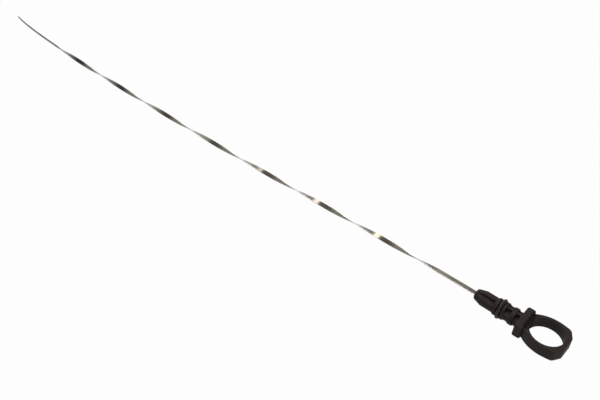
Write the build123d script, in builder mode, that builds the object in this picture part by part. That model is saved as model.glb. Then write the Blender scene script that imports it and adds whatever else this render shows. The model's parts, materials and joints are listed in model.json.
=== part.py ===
from build123d import *
import os
from math import asin, atan2, cos, degrees, hypot, sin

# An engine oil dipstick as it lies on a table: a twisted steel blade, moulded into a plastic handle
# that plugs the dipstick tube, and the rubber seal ring in the handle's groove.
# Millimetres. X runs from the blade's tip towards the finger loop, Y across the blade, Z up.
# The origin is on the plug's axis, in the middle of the collar that guides it in the tube.

# Steel blade
BLADE_WIDTH = 3.7
BLADE_THICKNESS = 0.8
BLADE_FREE_LENGTH = 549.5
BLADE_ROOT_RUN = 34.6
BLADE_TIP_RUN = 70.0
HALF_TURN_LENGTH = 60.1
TWIST_STEP_LENGTH = 4.0
TIP_POINT_LENGTH = 4.0
TIP_POINT_WIDTH = 1.3

# Level marks near the tip: a pair of round notches for each level
LOW_MARK_FROM_TIP = 18.0
MARK_SPACING = 22.0
MARK_RADIUS = 0.7
MARK_DEPTH = 0.45

# Hold of the plastic on the blade's root
ANCHOR_HOLE_DIAMETER = 1.5
ANCHOR_HOLE_FROM_END = 5.0

# Plug, from the nose to the shoulder
NOSE_TIP_DIAMETER = 7.8
NOSE_DIAMETER = 11.6
NOSE_TAPER_LENGTH = 6.5
NOSE_STRAIGHT_LENGTH = 10.0
COLLAR_DIAMETER = 13.2
COLLAR_LENGTH = 2.2
GROOVE_SLACK = 1.0
REAR_COLLAR_DIAMETER = 13.4
REAR_COLLAR_LENGTH = 2.2
WAIST_DIAMETER = 11.7
FRONT_POCKET_LENGTH = 4.9
BAND_DIAMETER = 13.4
BAND_LENGTH = 3.1
REAR_POCKET_LENGTH = 3.2
COLLAR_CHAMFER = 0.35
NOSE_CHAMFER = 0.6

# Recesses between the plug's thin upright fin and its flat slab
FIN_THICKNESS = 2.0
NOSE_SLAB_THICKNESS = 6.8
NECK_SLAB_THICKNESS = 6.0
RECESS_CORNER_RADIUS = 0.5
NOSE_RECESS_FROM_TIP = 2.0
NOSE_RECESS_TO_COLLAR = 0.5

# Seal ring
SEAL_OUTER_DIAMETER = 15.7
SEAL_SECTION_DIAMETER = 2.65
SEAL_SEAT_GAP = 0.05
SEAL_PUSHED_BACK = 0.3

# Shoulder block
SHOULDER_LENGTH = 6.4
SHOULDER_WIDTH = 20.6
SHOULDER_DEPTH = 12.0
SHOULDER_CORNER_RADIUS = 1.6
SHOULDER_CHAMFER = 0.6

# Finger loop
LOOP_HOLE_LENGTH = 25.8
LOOP_HOLE_WIDTH = 22.4
LOOP_SIDE_WALL = 2.45
LOOP_END_WALL = 3.1
LOOP_ROOT_WALL = 1.5
LOOP_ROOT_WIDTH = 16.8
LOOP_WIDEST_PAST_HOLE = 1.6
LOOP_SHOULDER_WIDTH = 24.6
LOOP_END_WIDTH = 12.6
LOOP_END_SLOPE_LENGTH = 4.0
LOOP_DEPTH = 9.9
LOOP_CORNER_RADIUS = 3.5
LOOP_EDGE_CHAMFER = 0.5
LOOP_HOLE_CHAMFER = 0.4

# Lie of the blade on the table
BLADE_EXIT_RUN = 2.7
DROOP_RUN = 196.0
DROOP_START_LEAD = 24.7
DROOP_END_LEAD = 127.4
DROOP_SIDEWAYS = 8.0
TIP_SIDEWAYS = 27.6
TIP_START_LEAD = 101.0
TIP_END_LEAD = 47.4
TIP_HEADING_DEGREES = 16.4

# Stations along the plug's axis
collar_front = -COLLAR_LENGTH / 2
collar_rear = COLLAR_LENGTH / 2
nose_shoulder = collar_front - NOSE_STRAIGHT_LENGTH
nose_tip = nose_shoulder - NOSE_TAPER_LENGTH
groove_width = SEAL_SECTION_DIAMETER + GROOVE_SLACK
groove_end = collar_rear + groove_width
rear_collar_end = groove_end + REAR_COLLAR_LENGTH
band_front = rear_collar_end + FRONT_POCKET_LENGTH
band_rear = band_front + BAND_LENGTH
shoulder_front = band_rear + REAR_POCKET_LENGTH
shoulder_middle = shoulder_front + SHOULDER_LENGTH / 2
shoulder_back = shoulder_front + SHOULDER_LENGTH
hole_middle = shoulder_back + LOOP_ROOT_WALL + LOOP_HOLE_LENGTH / 2
loop_end = hole_middle + LOOP_HOLE_LENGTH / 2 + LOOP_END_WALL
blade_root_end = band_rear
anchor_place = blade_root_end - ANCHOR_HOLE_FROM_END

# Seal ring's seat
seal_section_radius = SEAL_SECTION_DIAMETER / 2
seal_middle_radius = SEAL_OUTER_DIAMETER / 2 - seal_section_radius
seal_place = collar_rear + groove_width / 2 + SEAL_PUSHED_BACK
groove_radius = seal_middle_radius - seal_section_radius - SEAL_SEAT_GAP

# The handle tips until the seal ring and the bottom edge of the loop's end both touch the table
loop_edge = min(LOOP_EDGE_CHAMFER, 0.4 * LOOP_SIDE_WALL)
rest_rise = seal_middle_radius - LOOP_DEPTH / 2
rest_reach = loop_end - loop_edge - seal_place
rest_tilt = atan2(rest_rise, rest_reach) + asin(seal_section_radius / hypot(rest_rise, rest_reach))
rest_pose = Location((0, 0, 0), (0, degrees(rest_tilt), 0))
table_height = -(seal_place * sin(rest_tilt) + seal_middle_radius * cos(rest_tilt) + seal_section_radius)

# Centre line of the blade: straight out of the nose, drooping to the table, then curving sideways on it
to_tip = Vector(-cos(rest_tilt), 0, sin(rest_tilt))
root_end_point = to_tip * -blade_root_end
exit_point = to_tip * -nose_tip
droop_start = exit_point + to_tip * BLADE_EXIT_RUN
lying_height = table_height + hypot(BLADE_WIDTH, BLADE_THICKNESS) / 2
touch_point = Vector(droop_start.X - DROOP_RUN, DROOP_SIDEWAYS, lying_height)
along_table = Vector(-1, 0, 0)
tip_heading = along_table.rotate(Axis.Z, -TIP_HEADING_DEGREES)
tip_run = BLADE_FREE_LENGTH - BLADE_EXIT_RUN - DROOP_RUN
tip_point = touch_point + along_table * tip_run + Vector(0, TIP_SIDEWAYS - DROOP_SIDEWAYS, 0)

with BuildLine() as centre_line:
    Line(root_end_point, droop_start)
    Bezier(
        droop_start,
        droop_start + to_tip * DROOP_START_LEAD,
        touch_point - along_table * DROOP_END_LEAD,
        touch_point,
    )
    Bezier(
        touch_point,
        touch_point + along_table * TIP_START_LEAD,
        tip_point - tip_heading * TIP_END_LEAD,
        tip_point,
    )

blade_path = centre_line.wire()
root_length = blade_root_end - nose_tip
twist_start = root_length + BLADE_ROOT_RUN
twist_end = blade_path.length - BLADE_TIP_RUN


def blade_section(place):
    """The plane across the blade at a distance from its moulded-in end, turned by the twist so far."""
    twisted = min(max(place, twist_start), twist_end) - twist_start
    point = blade_path.position_at(place, position_mode=PositionMode.LENGTH)
    forward = blade_path.tangent_at(place, position_mode=PositionMode.LENGTH)
    across = Vector(0, 1, 0).rotate(Axis((0, 0, 0), forward), 180 * twisted / HALF_TURN_LENGTH)
    return Plane(origin=point, x_dir=across, z_dir=forward)


def blade_face(place):
    """The plane in the middle of the blade's thickness at a distance from its moulded-in end."""
    section = blade_section(place)
    return Plane(origin=section.origin, x_dir=section.z_dir, z_dir=section.y_dir)


twist_steps = round((blade_path.length - TIP_POINT_LENGTH - root_length) / TWIST_STEP_LENGTH)
step_length = (blade_path.length - TIP_POINT_LENGTH - root_length) / twist_steps

with BuildPart() as blade:
    for place in [0] + [root_length + step * step_length for step in range(twist_steps + 1)]:
        with BuildSketch(blade_section(place)):
            Rectangle(BLADE_WIDTH, BLADE_THICKNESS)
    with BuildSketch(blade_section(blade_path.length)):
        Rectangle(TIP_POINT_WIDTH, BLADE_THICKNESS)
    loft(ruled=True, clean=False)
    # Hole that the plastic grips
    with BuildSketch(blade_face(ANCHOR_HOLE_FROM_END)):
        Circle(ANCHOR_HOLE_DIAMETER / 2)
    extrude(amount=BLADE_THICKNESS, both=True, mode=Mode.SUBTRACT)
    # Level marks
    for mark in (LOW_MARK_FROM_TIP, LOW_MARK_FROM_TIP + MARK_SPACING):
        with BuildSketch(blade_face(blade_path.length - mark)):
            with GridLocations(0, BLADE_WIDTH + 2 * (MARK_RADIUS - MARK_DEPTH), 1, 2):
                Circle(MARK_RADIUS)
        extrude(amount=BLADE_THICKNESS, both=True, mode=Mode.SUBTRACT)

with BuildPart() as handle:
    # Finger loop
    with BuildSketch(Plane.XY) as loop_plan:
        with BuildLine():
            widest = (hole_middle + LOOP_WIDEST_PAST_HOLE, LOOP_HOLE_WIDTH / 2 + LOOP_SIDE_WALL)
            root = (shoulder_back, LOOP_ROOT_WIDTH / 2)
            slope_start = (loop_end - LOOP_END_SLOPE_LENGTH, LOOP_SHOULDER_WIDTH / 2)
            slope_end = (loop_end, LOOP_END_WIDTH / 2)
            Polyline((shoulder_middle, 0), (shoulder_middle, LOOP_ROOT_WIDTH / 2), root)
            TangentArc(widest, root, tangent=(-1, 0))
            TangentArc(widest, slope_start, tangent=(1, 0))
            Polyline(slope_start, slope_end, (loop_end, 0))
            mirror(about=Plane.XZ)
        make_face()
        corners = loop_plan.vertices().filter_by(lambda v: v.X > hole_middle + LOOP_END_WALL)
        fillet(corners, radius=LOOP_CORNER_RADIUS)
        with Locations((hole_middle, 0)):
            Ellipse(LOOP_HOLE_LENGTH / 2, LOOP_HOLE_WIDTH / 2, mode=Mode.SUBTRACT)
    extrude(amount=LOOP_DEPTH / 2, both=True)
    hole_rims = handle.faces().filter_by(Axis.Z).edges().filter_by(GeomType.ELLIPSE)
    chamfer(hole_rims, length=LOOP_HOLE_CHAMFER)
    rims = handle.faces().filter_by(Axis.Z).edges()
    outer_rims = rims.filter_by(lambda edge: edge.center().X > shoulder_back and not edge.is_closed)
    chamfer(outer_rims, length=loop_edge)

    # Shoulder block
    with BuildSketch(Plane.XY):
        with Locations((shoulder_middle, 0)):
            RectangleRounded(SHOULDER_LENGTH, SHOULDER_WIDTH, SHOULDER_CORNER_RADIUS)
    extrude(amount=SHOULDER_DEPTH / 2, both=True)
    shoulder_rims = handle.faces().filter_by(Axis.Z).group_by(Axis.Z)
    chamfer((shoulder_rims[0] + shoulder_rims[-1]).edges(), length=SHOULDER_CHAMFER)

    # Plug, turned about its axis
    with BuildSketch(Plane.XZ) as plug_profile:
        with BuildLine():
            Polyline(
                (shoulder_middle, 0),
                (nose_tip, 0),
                (nose_tip, NOSE_TIP_DIAMETER / 2),
                (nose_shoulder, NOSE_DIAMETER / 2),
                (collar_front, NOSE_DIAMETER / 2),
                (collar_front, COLLAR_DIAMETER / 2),
                (collar_rear, COLLAR_DIAMETER / 2),
                (collar_rear, groove_radius),
                (groove_end, groove_radius),
                (groove_end, REAR_COLLAR_DIAMETER / 2),
                (rear_collar_end, REAR_COLLAR_DIAMETER / 2),
            )
            ThreePointArc(
                (rear_collar_end, REAR_COLLAR_DIAMETER / 2),
                ((rear_collar_end + band_front) / 2, WAIST_DIAMETER / 2),
                (band_front, BAND_DIAMETER / 2),
            )
            Polyline(
                (band_front, BAND_DIAMETER / 2),
                (band_rear, BAND_DIAMETER / 2),
                (band_rear, WAIST_DIAMETER / 2),
                (shoulder_middle, WAIST_DIAMETER / 2),
                (shoulder_middle, 0),
            )
        make_face()
        nose_rim = plug_profile.vertices().filter_by(lambda v: v.X < nose_shoulder and v.Y > 0)
        chamfer(nose_rim, length=NOSE_CHAMFER)
        ring_corners = [(collar_front, COLLAR_DIAMETER / 2), (band_rear, BAND_DIAMETER / 2)]
        for corner in ring_corners:
            chamfer(plug_profile.vertices().sort_by_distance(Vector(*corner))[0], length=COLLAR_CHAMFER)
    revolve(axis=Axis.X)

    # Recesses left and right of the fin, above and below the slab
    for start, end, slab in (
        (nose_tip + NOSE_RECESS_FROM_TIP, collar_front - NOSE_RECESS_TO_COLLAR, NOSE_SLAB_THICKNESS),
        (rear_collar_end, band_front, NECK_SLAB_THICKNESS),
        (band_rear, shoulder_front, NECK_SLAB_THICKNESS),
    ):
        with BuildSketch(Plane.YZ.offset(start)):
            with GridLocations(FIN_THICKNESS + BAND_DIAMETER, slab + BAND_DIAMETER, 2, 2):
                RectangleRounded(BAND_DIAMETER, BAND_DIAMETER, RECESS_CORNER_RADIUS)
        extrude(amount=end - start, mode=Mode.SUBTRACT)

    # Slot that the blade's root fills, with the plastic that runs through the hole in it
    with BuildSketch(Plane.YZ.offset(nose_tip)):
        Rectangle(BLADE_WIDTH, BLADE_THICKNESS)
    extrude(amount=root_length, mode=Mode.SUBTRACT)
    with BuildSketch(Plane.XY):
        with Locations((anchor_place, 0)):
            Circle(ANCHOR_HOLE_DIAMETER / 2)
    extrude(amount=BLADE_THICKNESS, both=True)

with BuildPart() as seal_ring:
    with BuildSketch(Plane.XZ):
        with Locations((seal_place, seal_middle_radius)):
            Circle(seal_section_radius)
    revolve(axis=Axis.X)

handle.part.locate(rest_pose)
seal_ring.part.locate(rest_pose)

blade.part.label = "blade"
handle.part.label = "handle"
seal_ring.part.label = "seal_ring"

os.makedirs("parts", exist_ok=True)
export_step(blade.part, "parts/blade.step")
export_step(handle.part, "parts/handle.step")
export_step(seal_ring.part, "parts/seal_ring.step")
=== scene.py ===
# %% [markdown]
# Engine oil dipstick, lying on a white table.
# The solids come from the CAD model and stay where they are. This lesson gives them their looks: a
# rolled and twisted steel blade, a black moulded handle, and a rubber seal ring, in soft studio light.

# %% Load the solids
import json
from bisect import bisect_right
from math import cos, hypot, pi, radians, sin, sqrt

import bpy
from mathutils import Matrix, Vector
from mathutils.geometry import interpolate_bezier


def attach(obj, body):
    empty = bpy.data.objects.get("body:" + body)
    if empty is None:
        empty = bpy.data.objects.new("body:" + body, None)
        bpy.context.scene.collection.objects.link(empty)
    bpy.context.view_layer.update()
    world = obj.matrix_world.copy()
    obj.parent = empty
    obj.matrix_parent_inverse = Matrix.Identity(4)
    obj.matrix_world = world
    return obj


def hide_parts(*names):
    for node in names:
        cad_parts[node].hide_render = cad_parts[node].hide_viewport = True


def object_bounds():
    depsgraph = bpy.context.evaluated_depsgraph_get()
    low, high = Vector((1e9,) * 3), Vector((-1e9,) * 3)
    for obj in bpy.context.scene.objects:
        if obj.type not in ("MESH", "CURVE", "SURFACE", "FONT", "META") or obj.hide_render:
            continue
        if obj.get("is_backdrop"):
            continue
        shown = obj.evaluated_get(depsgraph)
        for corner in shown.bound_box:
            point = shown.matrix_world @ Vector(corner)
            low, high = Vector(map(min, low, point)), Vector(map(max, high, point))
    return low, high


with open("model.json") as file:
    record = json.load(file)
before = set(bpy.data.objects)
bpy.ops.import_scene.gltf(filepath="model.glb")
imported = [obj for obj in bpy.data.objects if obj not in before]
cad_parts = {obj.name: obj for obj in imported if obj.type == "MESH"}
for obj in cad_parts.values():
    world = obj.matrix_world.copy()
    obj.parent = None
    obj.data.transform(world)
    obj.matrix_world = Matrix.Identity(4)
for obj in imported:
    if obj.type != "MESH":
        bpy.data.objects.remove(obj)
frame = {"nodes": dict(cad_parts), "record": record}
cad_low, cad_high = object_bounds()
scene = bpy.context.scene
scene.view_settings.view_transform = "Standard"
print("solids:", sorted(frame["nodes"]), "longest side %.3f m" % (cad_high.x - cad_low.x))

# %% [markdown]
# Sizes in the workshop are millimetres, and Blender's unit here is the metre, so every size of the
# dipstick is written in millimetres and multiplied once. The plug's axis and the table's height are
# read from the loaded model, so the new pieces can't drift away from the solids.

# %% Units, axis and table height
MM = 0.001
mounts = {mount["name"]: mount for mount in frame["record"]["mounts"]}
to_tip = Vector(mounts["tube_plug"]["axis"]).normalized()
table_height = cad_low.z
print("plug axis", [round(c, 4) for c in to_tip], "table at %.2f mm" % (table_height / MM))

# %% [markdown]
# The blade's centre line. The strip comes straight out of the plug, droops under its own weight until
# it lies on the table, and its far end is bent to one side by years of going down a curved tube. A line
# like that could be drawn by hand as a curve object. Two cubic spans are enough for it, and worked out
# here, each of their sizes has a name and can be changed by itself.

# %% Blade centre line
ROOT_END, NOSE_TIP, FREE_LENGTH = 14.95 * MM, 17.6 * MM, 549.5 * MM
EXIT_RUN, DROOP_RUN = 2.7 * MM, 196 * MM
BLADE_WIDTH, BLADE_THICKNESS = 3.7 * MM, 0.8 * MM
DROOP_SIDEWAYS, TIP_SIDEWAYS = 8.0 * MM, 27.6 * MM
DROOP_START_LEAD, DROOP_END_LEAD = 24.7 * MM, 127.4 * MM
TIP_START_LEAD, TIP_END_LEAD = 101 * MM, 47.4 * MM
TIP_HEADING = radians(-16.4)
DROOP_POINTS, LYING_POINTS = 500, 700

root_end = to_tip * -ROOT_END
droop_start = to_tip * (NOSE_TIP + EXIT_RUN)
lying_height = table_height + hypot(BLADE_WIDTH, BLADE_THICKNESS) / 2
touch = Vector((droop_start.x - DROOP_RUN, DROOP_SIDEWAYS, lying_height))
ahead = Vector((-1, 0, 0))
tip_heading = Matrix.Rotation(TIP_HEADING, 3, "Z") @ ahead
lying_run = FREE_LENGTH - EXIT_RUN - DROOP_RUN
tip = touch + ahead * lying_run + Vector((0, TIP_SIDEWAYS - DROOP_SIDEWAYS, 0))

line = [root_end]
droop_bend, droop_settle = droop_start + to_tip * DROOP_START_LEAD, touch - ahead * DROOP_END_LEAD
line += interpolate_bezier(droop_start, droop_bend, droop_settle, touch, DROOP_POINTS)
tip_bend, tip_settle = touch + ahead * TIP_START_LEAD, tip - tip_heading * TIP_END_LEAD
line += interpolate_bezier(touch, tip_bend, tip_settle, tip, LYING_POINTS)[1:]
print("centre line:", len(line), "points, tip at", [round(c / MM, 1) for c in tip], "mm")

# %% [markdown]
# Every later step asks for a place on that line by its distance from the blade's moulded-in end. A
# table of the distances answers it. The direction is blended between neighbouring points, so that it
# changes smoothly.

# %% Distances along the line
reach = [0.0]
for a, b in zip(line, line[1:]):
    reach.append(reach[-1] + (b - a).length)
blade_length = reach[-1]


def place_on_line(distance):
    """Point and direction of the blade's centre line at a distance from its moulded-in end."""
    i = min(max(bisect_right(reach, distance) - 1, 0), len(line) - 2)
    part = (distance - reach[i]) / (reach[i + 1] - reach[i])
    before, after = max(i - 1, 0), min(i + 2, len(line) - 1)
    here = (line[i + 1] - line[i]).normalized()
    start = (line[i] - line[before]).normalized() + here if i > before else here
    end = here + (line[after] - line[i + 1]).normalized() if after > i + 1 else here
    return line[i].lerp(line[i + 1], part), start.normalized().lerp(end.normalized(), part).normalized()


print("blade is %.1f mm along its line" % (blade_length / MM))

# %% [markdown]
# The strip's width. The blade is rolled flat wire of one width, cut to a blunt point at the tip. Round
# notches in both edges mark the low and the high level. They could be cut out by a Boolean modifier,
# but a width that changes with the distance gives cleaner faces.

# %% Blade width
TIP_POINT, TIP_WIDTH = 4 * MM, 1.3 * MM
NOTCH_RADIUS, NOTCH_DEPTH = 0.7 * MM, 0.45 * MM
LOW_MARK, HIGH_MARK = 18 * MM, 40 * MM
marks = [blade_length - LOW_MARK, blade_length - HIGH_MARK]


def half_width(distance):
    """Half the strip's width: full along its length, less in the notches, narrowing to the point."""
    width = BLADE_WIDTH / 2
    for mark in marks:
        off = abs(distance - mark)
        if off < NOTCH_RADIUS:
            hollow = sqrt(NOTCH_RADIUS**2 - off**2)
            width = min(width, BLADE_WIDTH / 2 + NOTCH_RADIUS - NOTCH_DEPTH - hollow)
    left = blade_length - distance
    if left < TIP_POINT:
        width = TIP_WIDTH / 2 + (BLADE_WIDTH - TIP_WIDTH) / 2 * left / TIP_POINT
    return width


widths = [2 * half_width(s) / MM for s in (blade_length / 2, marks[0])]
print("strip is %.2f mm wide, %.2f mm in a notch" % tuple(widths))

# %% [markdown]
# The twist. The strip is clamped at both ends and twisted, which stops it from rattling in its tube and
# carries a film of oil. A Screw or Simple Deform modifier could twist a straight bar, but it could not
# follow the droop, so the turn is worked out for each distance. A twist made in a clamp is never quite
# even: this one lags a little after the first half turn and catches up towards the tip.

# %% Blade twist
HALF_TURN, ROOT_RUN, TIP_RUN = 60.1 * MM, 34.6 * MM, 72 * MM
TWIST_LAG, LAG_RISE, LAG_FALL = 1.4 * MM, (85 * MM, 145 * MM), (205 * MM, 445 * MM)
twist_start = ROOT_END + NOSE_TIP + ROOT_RUN
twist_end = blade_length - TIP_RUN


def share_of(value, low, high):
    """Goes from 0 to 1 as a value goes from low to high."""
    return min(max((value - low) / (high - low), 0), 1)


def turn_at(distance):
    """The strip's turn: none along the flat root, even but for the lag, and kept along the flat tip."""
    twisted = min(max(distance, twist_start), twist_end)
    rise = share_of(twisted, *LAG_RISE)
    lag = TWIST_LAG * rise**2 * (3 - 2 * rise) * (1 - share_of(twisted, *LAG_FALL))
    return pi * (twisted - lag - twist_start) / HALF_TURN


print("strip turns by %.2f half turns" % (turn_at(blade_length) / pi))

# %% [markdown]
# The strip's section. A rounded rectangle is set across the line, turned by the twist. Its corners are
# round because flat wire is rolled, and a round corner catches the light as a fine bright line. Each
# point also gives its place on the flat strip, which the steel's finish will need.

# %% Blade section
EDGE_ROUND, ROUND_LIMIT, CORNER_POINTS = 0.18 * MM, 0.9, 6
CORNERS = ((1, -1), (1, 1), (-1, 1), (-1, -1))


def section(distance, shrink=0.0):
    """Points of the rounded rectangle across the blade, and their places on the flat strip."""
    point, forward = place_on_line(distance)
    side = Vector((0, 1, 0))
    side = (side - forward * side.dot(forward)).normalized()
    across = Matrix.Rotation(turn_at(distance), 3, forward) @ side
    through = forward.cross(across)
    w, h = half_width(distance) - shrink, BLADE_THICKNESS / 2 - shrink
    r = min(EDGE_ROUND, ROUND_LIMIT * w, ROUND_LIMIT * h)
    points, places = [], []
    for corner, (sx, sy) in enumerate(CORNERS):
        for step in range(CORNER_POINTS):
            angle = -pi / 2 + pi / 2 * (corner + step / (CORNER_POINTS - 1))
            x, y = sx * (w - r) + r * cos(angle), sy * (h - r) + r * sin(angle)
            points.append(point + across * x + through * y)
            places.append((distance, x, y))
    return points, places


print("section has", len(section(twist_start)[0]), "points")

# %% [markdown]
# Both new pieces, the strip and the seal ring, are skins over a row of rings, so one helper makes them:
# a quad between each pair of neighbouring points, and caps at the ends unless the row closes on itself.
# It can also store each point's place on the strip, as a mesh attribute.

# %% Ring mesh helper
def ring_mesh(name, rings, closed=False, places=None):
    """A mesh from rings of points: quads between neighbours, caps at the ends unless the rings close."""
    count = len(rings[0])
    mesh = bpy.data.meshes.new(name)
    faces = []
    for i in range(len(rings) if closed else len(rings) - 1):
        low, high = i * count, (i + 1) % len(rings) * count
        for k in range(count):
            n = (k + 1) % count
            faces.append((low + k, low + n, high + n, high + k))
    if not closed:
        last = (len(rings) - 1) * count
        faces.append(tuple(reversed(range(count))))
        faces.append(tuple(last + k for k in range(count)))
    mesh.from_pydata([p for ring in rings for p in ring], [], faces)
    mesh.polygons.foreach_set("use_smooth", [True] * len(mesh.polygons))
    if places:
        stored = mesh.attributes.new("strip_place", "FLOAT_VECTOR", "POINT")
        stored.data.foreach_set("vector", [c for ring in places for p in ring for c in p])
    mesh.update()
    made = bpy.data.objects.new(name, mesh)
    scene.collection.objects.link(made)
    print(name, "has", len(rings), "rings and", len(mesh.polygons), "faces")
    return made


# %% [markdown]
# The blade strip. The sections stand close together, closest where the notches are cut, and further
# apart in the root, which the plastic hides. The last two shrink, so that the cut end isn't sharp. A
# Weighted Normal modifier keeps the wide faces flat in the light, although the whole strip is shaded
# smooth.

# %% Blade strip
ROOT_STEP, ROOT_STEPS = 4 * MM, 9
FINE_START, FINE_STEP = 34 * MM, 0.8 * MM
NOTCH_STEPS, NOTCH_CLEAR = 10, 0.05 * MM
LAST_STOP, TIP_CUTS = 0.35 * MM, ((0.3 * MM, 0), (0.1 * MM, 0.07 * MM), (0, 0.2 * MM))
FLAT_WEIGHT = 60

stops = [k * ROOT_STEP for k in range(ROOT_STEPS)]
fine_steps = int((blade_length - FINE_START) / FINE_STEP) + 1
stops += [FINE_START + k * FINE_STEP for k in range(fine_steps)]
for mark in marks:
    stops = [s for s in stops if abs(s - mark) > NOTCH_RADIUS + NOTCH_CLEAR]
    notch_steps = range(-NOTCH_STEPS, NOTCH_STEPS + 1)
    stops += [mark + NOTCH_RADIUS * sin(pi / 2 * k / NOTCH_STEPS) for k in notch_steps]
cuts = [section(s) for s in sorted(stops) if s < blade_length - LAST_STOP]
cuts += [section(blade_length - back, shrink) for back, shrink in TIP_CUTS]

blade = ring_mesh("blade_strip", [c[0] for c in cuts], places=[c[1] for c in cuts])
weights = blade.modifiers.new("flat_faces", "WEIGHTED_NORMAL")
weights.weight = FLAT_WEIGHT
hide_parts("blade")
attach(blade, "root")

# %% [markdown]
# The seal ring is a rubber O-ring: a round section turned about the plug's axis, with the thin line
# that the two halves of its mould leave round the outside. A torus primitive has no such line, so the
# section is drawn here and turned with the same helper.

# %% Seal ring
SEAL_OUTER, SEAL_SECTION, SEAL_PLACE = 15.7 * MM, 2.65 * MM, 3.225 * MM
FLASH_HEIGHT, FLASH_ANGLE = 0.035 * MM, 0.14
SEAL_RINGS, SEAL_POINTS = 160, 40

plug_side = Vector((0, 1, 0))
plug_up = to_tip.cross(plug_side)
rings = []
for k in range(SEAL_RINGS):
    around = 2 * pi * k / SEAL_RINGS
    out = plug_side * cos(around) + plug_up * sin(around)
    middle = to_tip * -SEAL_PLACE + out * (SEAL_OUTER - SEAL_SECTION) / 2
    ring = []
    for j in range(SEAL_POINTS):
        angle = 2 * pi * j / SEAL_POINTS
        off = min(angle, 2 * pi - angle)
        r = SEAL_SECTION / 2 - FLASH_HEIGHT * min(1, off / FLASH_ANGLE)
        ring.append(middle + out * r * cos(angle) - to_tip * r * sin(angle))
    rings.append(ring)

seal = ring_mesh("seal_ring_moulded", rings, closed=True)
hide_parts("seal_ring")
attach(seal, "root")

# %% [markdown]
# Shader sums are easier to read as sums. This class holds one socket of a material's node tree, and
# adding or multiplying two of them adds the Math node that does it. Every other node is made by one
# method, which sets the node's own settings first and then its sockets, by a number, a colour or a
# link.

# %% Shader wires
class Wire:
    """A socket in a node tree that can be used in sums."""

    def __init__(self, tree, socket=None):
        self.tree, self.socket = tree, socket

    def node(self, kind, settings=None, sockets=None, out=0):
        """Adds a node and gives a wire from one of its outputs."""
        made = self.tree.nodes.new("ShaderNode" + kind)
        for name, value in (settings or {}).items():
            setattr(made, name, value)
        for name, value in (sockets or {}).items():
            if isinstance(value, Wire):
                self.tree.links.new(value.socket, made.inputs[name])
            else:
                made.inputs[name].default_value = value
        return Wire(self.tree, made.outputs[out] if made.outputs else None)

    def sum(self, operation, first, second):
        return self.node("Math", {"operation": operation}, {0: first, 1: second})

    def __add__(self, other):
        return self.sum("ADD", self, other)

    def __sub__(self, other):
        return self.sum("SUBTRACT", self, other)

    def __rsub__(self, other):
        return self.sum("SUBTRACT", other, self)

    def __mul__(self, other):
        return self.sum("MULTIPLY", self, other)

    __radd__, __rmul__ = __add__, __mul__

    def __abs__(self):
        return self.node("Math", {"operation": "ABSOLUTE"}, {0: self})

    def part(self, axis):
        """One of a vector's three parts."""
        return self.node("SeparateXYZ", None, {0: self}, out=axis)

    def dot(self, other):
        """The dot product of this vector and another."""
        return self.node("VectorMath", {"operation": "DOT_PRODUCT"}, {0: self, 1: other}, out=1)

    def stretch(self, x, y, z):
        """This vector, with each part multiplied."""
        return self.node("VectorMath", {"operation": "MULTIPLY"}, {0: self, 1: (x, y, z)})

    def noise(self, scale, detail=3.0, rough=0.55):
        """Noise at the place that this vector gives, with so many waves to a metre."""
        sockets = {"Vector": self, "Scale": scale, "Detail": detail, "Roughness": rough}
        return self.node("TexNoise", None, sockets)

    def step(self, low, high, start=0.0, end=1.0):
        """Goes smoothly from start to end as this value goes from low to high."""
        sockets = {0: self, 1: low, 2: high, 3: start, 4: end}
        return self.node("MapRange", {"interpolation_type": "SMOOTHSTEP"}, sockets)

    def fade(self, low, high):
        """Goes smoothly from 1 to 0 as this value goes from low to high."""
        return self.step(low, high, 1.0, 0.0)

    def tint(self, low, high):
        """Mixes two colours, high where this value is 1."""
        return self.node("Mix", {"data_type": "RGBA"}, {0: self, 6: low, 7: high}, out=2)

    def ray(self, kind):
        """1 where the light's path is of one kind: Camera, Glossy or Transmission."""
        return self.node("LightPath", out="Is %s Ray" % kind)


# %% [markdown]
# A finish starts from an empty node tree and ends in one Principled shader, which suits metal, plastic
# and rubber alike. Three small helpers are the same for every material below: one opens it, one closes
# it, and one puts it on a piece.

# %% Finish helpers
def new_finish(name):
    """An empty material, and a wire that stands for its tree."""
    material = bpy.data.materials.new(name)
    material.use_nodes = True
    material.node_tree.nodes.clear()
    return material, Wire(material.node_tree)


def close_finish(wire, sockets):
    """Puts the surface shader and the output on a material."""
    shader = wire.node("BsdfPrincipled", None, sockets)
    wire.node("OutputMaterial", None, {"Surface": shader})


def wear(piece, material):
    """Gives a piece one material."""
    piece.data.materials.clear()
    piece.data.materials.append(material)
    print(piece.name, "wears", material.name, "with", len(material.node_tree.nodes), "nodes")


# %% [markdown]
# Blade steel. Cold-rolled strip has fine lines along its length, a little duller in patches. Used oil
# leaves a dark film towards the tip, darkest on the flat run that dips into it. The two edges rub in
# the tube, which keeps them bright as far as the tube reaches: the tip hangs free in the sump. The
# lines are noise stretched along the strip, read from the places that each point remembers, so they
# turn with the twist.

# %% Blade steel masks
OIL_RISE, DIP_RISE, TUBE_END = (330 * MM, 460 * MM), (505 * MM, 525 * MM), (490 * MM, 510 * MM)
RUBBED_EDGE = 1.64 * MM, 1.80 * MM

steel, wire = new_finish("blade_steel_rolled")
strip = wire.node("Attribute", {"attribute_name": "strip_place"}, out=1)
along, across = strip.part(0), abs(strip.part(1))
lines = strip.stretch(60, 9000, 9000).noise(1.0, 4.0, 0.6)
patches = strip.stretch(1, 6, 6).noise(85)
stain = strip.stretch(1, 3, 3).noise(38, 2.0)
oiled = along.step(*OIL_RISE) * stain.step(0.3, 0.6)
dipped = along.step(*DIP_RISE)
rubbed = across.step(*RUBBED_EDGE) * along.fade(*TUBE_END)
unrubbed = 1 - rubbed
print("steel masks take", len(steel.node_tree.nodes), "nodes")

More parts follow.
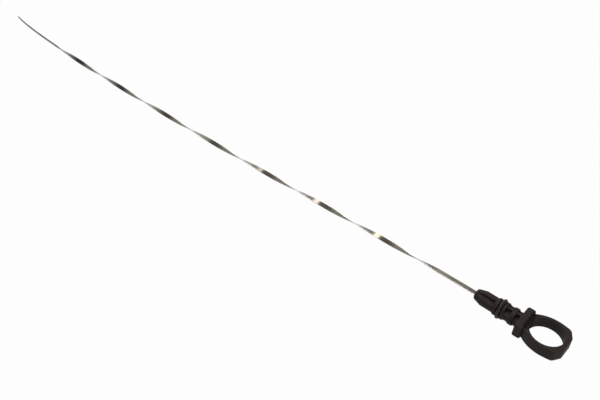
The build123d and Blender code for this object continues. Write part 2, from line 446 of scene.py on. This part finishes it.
# %% [markdown]
# The steel's colours lie over each other like coats of paint, each held back by its mask: bare metal,
# oil film, dipped tip, rubbed edges. The same masks say where the steel is dull. Separate materials on
# separate faces would show hard borders, so one material does it all.

# %% Blade steel finish
STEEL_DARK, STEEL_PALE = (0.19, 0.172, 0.138, 1), (0.26, 0.238, 0.194, 1)
OIL_FILM, OIL_DIPPED = (0.118, 0.115, 0.104, 1), (0.085, 0.083, 0.077, 1)
EDGE_BRIGHT = (0.86, 0.85, 0.83, 1)
LINE_DEPTH = 0.02 * MM

bare = (lines * 0.5 + patches * 0.5).step(0.3, 0.7).tint(STEEL_DARK, STEEL_PALE)
filmed = (oiled * 0.8).tint(bare, OIL_FILM)
soaked = (dipped * 0.9).tint(filmed, OIL_DIPPED)
bright = (rubbed * 0.95).tint(soaked, EDGE_BRIGHT)
streaks = lines * 0.08 + patches.step(0.4, 0.7) * 0.06
dull = 0.17 + unrubbed * streaks + oiled * 0.04 + rubbed * 0.3
scratch = wire.node("Bump", None, {"Strength": 0.08, "Distance": LINE_DEPTH, "Height": lines * unrubbed})
close_finish(wire, {"Base Color": bright, "Metallic": 1.0, "Roughness": dull, "Normal": scratch})
wear(blade, steel)

# %% [markdown]
# Handle plastic. A black glass-filled nylon comes out of an eroded steel mould with a fine dull grain,
# and handling leaves its raised edges a little lighter and smoother; the lighter edge colour is also
# partly a painted highlight along the rims. The Bevel node looks at the surface close by, so the dot
# product of its normal and the true one is below 1 near an edge: that is the mask for the wear and the
# painted highlight, and the rounded normal itself softens the sharp edges of the recesses. Painted shade
# darkens the plastic in the corners, which Ambient Occlusion finds, beside the seal and in the angle
# behind the shoulder.

# %% Handle plastic masks
EDGE_REACH, CORNER_REACH = 0.35 * MM, 3.5 * MM
# Where the painted shade and painted shadow go: behind the shoulder, beside the seal, and how far across the
# handle.
SHOULDER_START, SHOULDER_END = (22.3 * MM, 23.6 * MM), (25.8 * MM, 27.6 * MM)
SEAL_SIDE_START, SEAL_SIDE_END = (4.2 * MM, 4.5 * MM), (5.0 * MM, 5.8 * MM)
SHADE_HALF_WIDTH = 7.0 * MM, 9.0 * MM

plastic, wire = new_finish("handle_plastic_moulded")
spot = wire.node("TexCoord", out="Object")
grain, cloud, rub = spot.noise(7500, 2.0, 0.6), spot.noise(190), spot.noise(900)
rounded = wire.node("Bevel", {"samples": 6}, {"Radius": EDGE_REACH})
facing = rounded.dot(wire.node("NewGeometry", out="Normal"))
# The edge mask marks real wear, and also where a painted highlight lightens the rims.
edge = (1 - facing).step(0.02, 0.22) * rub.step(0.3, 0.6)
open_air = wire.node("AmbientOcclusion", {"samples": 8}, {"Distance": CORNER_REACH}, out="AO")
# Painted shade in the corners, found by Ambient Occlusion.
corners = open_air.fade(0.2, 0.75) * 0.8
along_plug = spot.dot(tuple(-to_tip))
# Painted shadow in the angle behind the shoulder and painted shade in the groove beside the seal.
behind_shoulder = along_plug.step(*SHOULDER_START) * along_plug.fade(*SHOULDER_END)
beside_seal = along_plug.step(*SEAL_SIDE_START) * along_plug.fade(*SEAL_SIDE_END)
inside = abs(spot.part(1)).fade(*SHADE_HALF_WIDTH)
# All of it together is the painted shade mask; it also makes the plastic rougher there.
painted_shade = wire.sum("MAXIMUM", corners, behind_shoulder + beside_seal) * inside
print("plastic masks take", len(plastic.node_tree.nodes), "nodes")

# %% [markdown]
# The plastic is coated in the same order: its clouded skin, the worn edges with their painted
# highlight, and the painted shade on top. A low specular level keeps the black deep under the lamps,
# and a bump from the grain breaks up the shine that is left.

# %% Handle plastic finish
SKIN_DARK, SKIN_PALE = (0.0175, 0.0118, 0.0092, 1), (0.0260, 0.0182, 0.0146, 1)
# The lighter edge colour is partly wear and partly a painted highlight; the darkest colour is painted shade.
WORN_EDGE_AND_HIGHLIGHT, PAINTED_SHADE_DARK = (0.10, 0.085, 0.075, 1), (0.0035, 0.0024, 0.0019, 1)
GRAIN_DEPTH = 0.03 * MM

skin = cloud.step(0.3, 0.7).tint(SKIN_DARK, SKIN_PALE)
# Lighter edges: partly wear, partly a painted highlight along the rims.
worn_and_highlit = (edge * 0.65).tint(skin, WORN_EDGE_AND_HIGHLIGHT)
# Painted shade goes on top: a near-black colour in the corners, beside the seal and behind the shoulder.
with_painted_shade = (painted_shade * 0.85).tint(worn_and_highlit, PAINTED_SHADE_DARK)
matt = 0.54 + grain * 0.12 + cloud.step(0.35, 0.7) * 0.06 - edge * 0.32 + painted_shade * 0.3
eroded = {"Strength": 0.5, "Distance": GRAIN_DEPTH, "Height": grain, "Normal": rounded}
pitted = wire.node("Bump", None, eroded)
close_finish(wire, {"Base Color": with_painted_shade, "Roughness": matt, "Specular IOR Level": 0.17, "Normal": pitted})
wear(frame["nodes"]["handle"], plastic)

# %% [markdown]
# Seal rubber. Oil-resistant rubber is deep black, and a smear of oil makes it shine in places where
# plain rubber would be dull, so the roughness carries most of the look.

# %% Seal rubber
RUBBER_DARK, RUBBER_PALE = (0.014, 0.0096, 0.0076, 1), (0.021, 0.0150, 0.0122, 1)
PORE_DEPTH = 0.02 * MM

rubber, wire = new_finish("seal_rubber_oiled")
spot = wire.node("TexCoord", out="Object")
smear, pores = spot.noise(260), spot.noise(5200, 2.0)
tone = smear.step(0.35, 0.7).tint(RUBBER_DARK, RUBBER_PALE)
shine = 0.44 - smear.step(0.35, 0.65) * 0.18 + pores * 0.06
porous = wire.node("Bump", None, {"Strength": 0.3, "Distance": PORE_DEPTH, "Height": pores})
close_finish(wire, {"Base Color": tone, "Roughness": shine, "Specular IOR Level": 0.25, "Normal": porous})
wear(seal, rubber)

# %% [markdown]
# The table is a plain white sweep. A camera or a mirror-like surface sees it as white, and the rest of
# the light meets an ordinary matt surface, so that a trace of the soft shadow stays under the dipstick.

# %% Table
TABLE_HALF = 6.0
PAPER_GREY, WHITE = (0.3, 0.3, 0.3, 1), (1, 1, 1, 1)
SEEN_GLOW, MIRRORED_GLOW = 0.98, 0.8

ends = ((-1, -1), (1, -1), (1, 1), (-1, 1))
table_mesh = bpy.data.meshes.new("table")
table_mesh.from_pydata([(x * TABLE_HALF, y * TABLE_HALF, table_height) for x, y in ends], [], [(0, 1, 2, 3)])
table = bpy.data.objects.new("table", table_mesh)
scene.collection.objects.link(table)

paper, wire = new_finish("table_white")
lit = wire.node("BsdfDiffuse", None, {"Color": PAPER_GREY})
glow = wire.node("Emission", None, {"Color": WHITE, "Strength": 1.0})
share = (wire.ray("Camera") + wire.ray("Transmission")) * SEEN_GLOW + wire.ray("Glossy") * MIRRORED_GLOW
wire.node("OutputMaterial", None, {"Surface": wire.node("MixShader", None, {0: share, 1: lit, 2: glow})})
wear(table, paper)
table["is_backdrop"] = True

# %% [markdown]
# Studio light. A large softbox hangs over the blade, a smaller one over the handle, and two more stand
# to the right, one of them low in front. The camera doesn't see the lamps, so they can stand anywhere.
# Their places and sizes are in metres and their power is in watts.

# %% Studio light
def softbox(name, at, aim, size, power):
    """A rectangular area light at a point, turned to face another."""
    lamp = bpy.data.lights.new(name, "AREA")
    lamp.shape = "RECTANGLE"
    lamp.size, lamp.size_y = size
    lamp.energy = power
    held = bpy.data.objects.new(name, lamp)
    held.location = at
    held.rotation_mode = "QUATERNION"
    held.rotation_quaternion = (Vector(aim) - Vector(at)).to_track_quat("-Z", "Y")
    held.visible_camera = False
    scene.collection.objects.link(held)
    print(name, "at", at, "%.1f W" % power)


softbox("softbox_above", at=(-0.47, 0.29, 1.0), aim=(-0.47, 0.29, 0.0), size=(0.70, 0.54), power=6.3)
softbox("softbox_over_handle", at=(-0.10, -0.20, 1.0), aim=(0.0, 0.0, 0.0), size=(0.4, 0.4), power=4.6)
softbox("softbox_rim", at=(0.85, -0.12, 0.55), aim=(0.05, 0.0, 0.0), size=(0.2, 0.2), power=1.2)
softbox("softbox_right", at=(1.0, -0.6, 0.08), aim=(0.03, 0.0, 0.0), size=(0.4, 0.14), power=2.4)

# %% [markdown]
# The room. Metal shows its surroundings, so the tone of the room matters as much as the lamps: the dim
# upper part of it draws the dark bands on the twist, and the pale far wall draws the light ones. Only
# mirror-like surfaces see this room. The camera sees plain white, and everything else gets a little
# even light.

# %% Studio room
LOW_WALL, EVEN_LIGHT = 0.65, 0.1

world = bpy.data.worlds.new("studio")
scene.world = world
world.use_nodes = True
world.node_tree.nodes.clear()
wire = Wire(world.node_tree)
aim = wire.node("TexCoord", out="Generated")
lengthways, backwards, height = (aim.part(axis) for axis in range(3))
dim = lengthways.step(-0.76, -0.46, 0.10, 0.42) * lengthways.step(-0.4, -0.15, 1.0, 0.5)
wall_end = lengthways.step(-0.62, -0.52, 0.84, 1.0) * lengthways.step(-0.52, -0.34, 1.0, 0.1)
far_wall = backwards.step(-0.25, 0.75, 0.0, 0.9) * wall_end
room = height.step(0.0, 0.5, LOW_WALL, dim) + far_wall
seen, mirrored = wire.ray("Camera"), wire.ray("Glossy")
level = mirrored * room + (1 - mirrored) * EVEN_LIGHT
sky = wire.node("Background", None, {"Color": WHITE, "Strength": seen + (1 - seen) * level})
wire.node("OutputWorld", None, {"Surface": sky})
print("room takes", len(world.node_tree.nodes), "nodes")

# %% [markdown]
# The camera looks from the photograph's viewing angle: from above and in front, towards the loop's end,
# with a normal lens.

# %% Camera
EYE = Vector((168.184, -426.446, 510.798)) * MM
HEADING, DROP, ROLL = radians(39.208), radians(43.147), radians(-0.376)
SENSOR_WIDTH, FOCAL_LENGTH = 36, 57
NEAREST, FARTHEST = 0.01, 50

right = Vector((cos(HEADING), sin(HEADING), 0))
look = Vector((-sin(HEADING) * cos(DROP), cos(HEADING) * cos(DROP), -sin(DROP)))
down = look.cross(right)
right, down = right * cos(ROLL) + down * sin(ROLL), down * cos(ROLL) - right * sin(ROLL)
lens = bpy.data.cameras.new("camera")
lens.sensor_width, lens.lens = SENSOR_WIDTH, FOCAL_LENGTH
lens.clip_start, lens.clip_end = NEAREST, FARTHEST
camera = bpy.data.objects.new("camera", lens)
camera.matrix_world = Matrix((right, -down, -look)).transposed().to_4x4()
camera.location = EYE
scene.collection.objects.link(camera)
scene.camera = camera
print("camera at", [round(c, 3) for c in EYE])

# %% [markdown]
# The dressed dipstick should stay as large as its solids, so the growth of its box over theirs is printed.

# %% Compare the boxes and finish
dressed_low, dressed_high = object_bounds()
growth = (dressed_high - dressed_low) - (cad_high - cad_low)
print("box grew by", [round(c / MM, 2) for c in growth], "mm")
